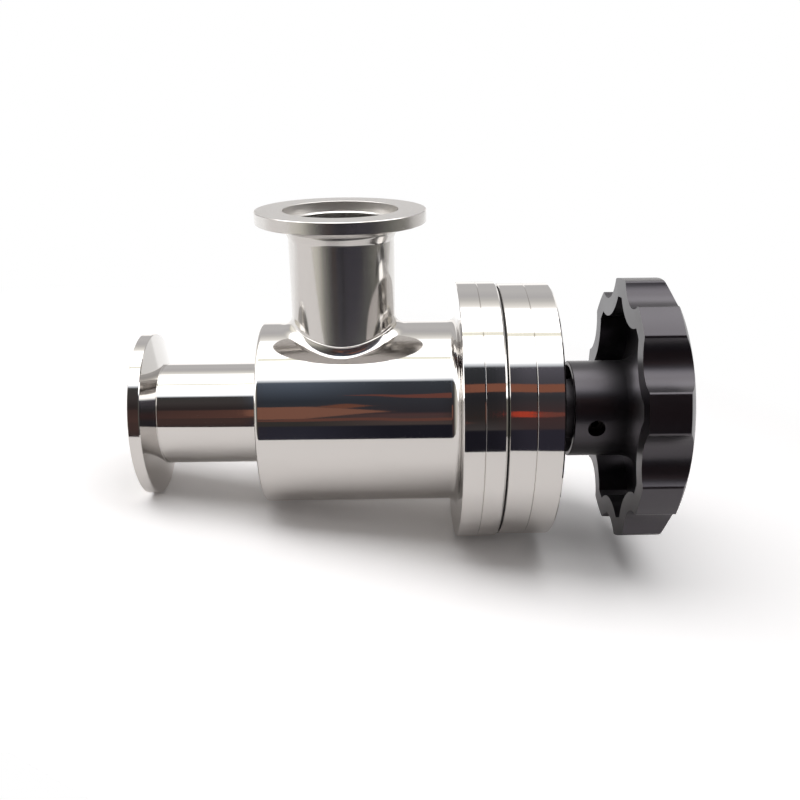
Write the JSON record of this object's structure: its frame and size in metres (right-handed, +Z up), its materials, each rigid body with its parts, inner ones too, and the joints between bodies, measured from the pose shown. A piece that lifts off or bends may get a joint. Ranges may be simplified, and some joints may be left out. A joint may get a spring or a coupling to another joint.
{
  "type": "vacuum angle valve",
  "caption": "Right-angle vacuum valve in polished steel, small-flange ends, bolted bonnet and lobed black handwheel that lifts a bellows-sealed disc off its seat.",
  "frame": {"origin": "centre of the inlet flange's face", "axes": "+X along the main axis from the inlet to the handwheel, +Z up the side port"},
  "size_m": [0.131, 0.0644, 0.0823],
  "materials": {
    "polished_steel": "stainless steel, turned and mirror polished",
    "turned_steel": "stainless steel, finely turned",
    "bellows_steel": "thin stainless steel, formed and welded",
    "screw_steel": "plain steel",
    "bronze": "bearing bronze, machined",
    "black_rubber": "black elastomer, matte",
    "black_plastic": "black moulded plastic, satin gloss"
  },
  "bodies": {
    "valve_body": {"inlet_flange": "turned_steel", "port_flange": "turned_steel", "inlet_tube": "polished_steel", "port_tube": "polished_steel", "body_shell": "polished_steel", "body_flange": "polished_steel", "body_seal": "black_rubber", "bellows_flange": "polished_steel", "flange_gasket": "black_rubber", "bonnet_plate": "polished_steel", "bonnet_cover": "polished_steel", "cover_screws": "screw_steel", "stem_nut": "bronze", "nut_dowel": "screw_steel", "stem_wiper": "black_rubber", "guide_bush": "bronze", "guide_pin": "screw_steel", "bellows": "bellows_steel"},
    "disc_carrier": {"valve_disc": "turned_steel", "valve_seal": "black_rubber", "disc_screw": "screw_steel", "plunger": "turned_steel", "bellows_ring": "turned_steel", "thrust_pad": "screw_steel", "plunger_cap": "turned_steel"},
    "wheel_and_stem": {"stem": "turned_steel", "thrust_collar": "screw_steel", "handwheel": "black_plastic", "hub_set_screw": "screw_steel"}
  },
  "joints": [
    {"name": "disc_lift", "type": "slide", "parent": "valve_body", "child": "disc_carrier", "axis": [1, 0, 0], "range_m": [0, 0.01], "deforming": ["bellows"]},
    {"name": "handwheel_turn", "type": "hinge", "parent": "disc_carrier", "child": "wheel_and_stem", "pos_m": [0.1, 0, 0], "axis": [1, 0, 0], "range_deg": [0, 1800]}
  ],
  "couplings": [
    {"joint": "handwheel_turn", "follows": "disc_lift", "rad_per_m": 3141.6}
  ]
}
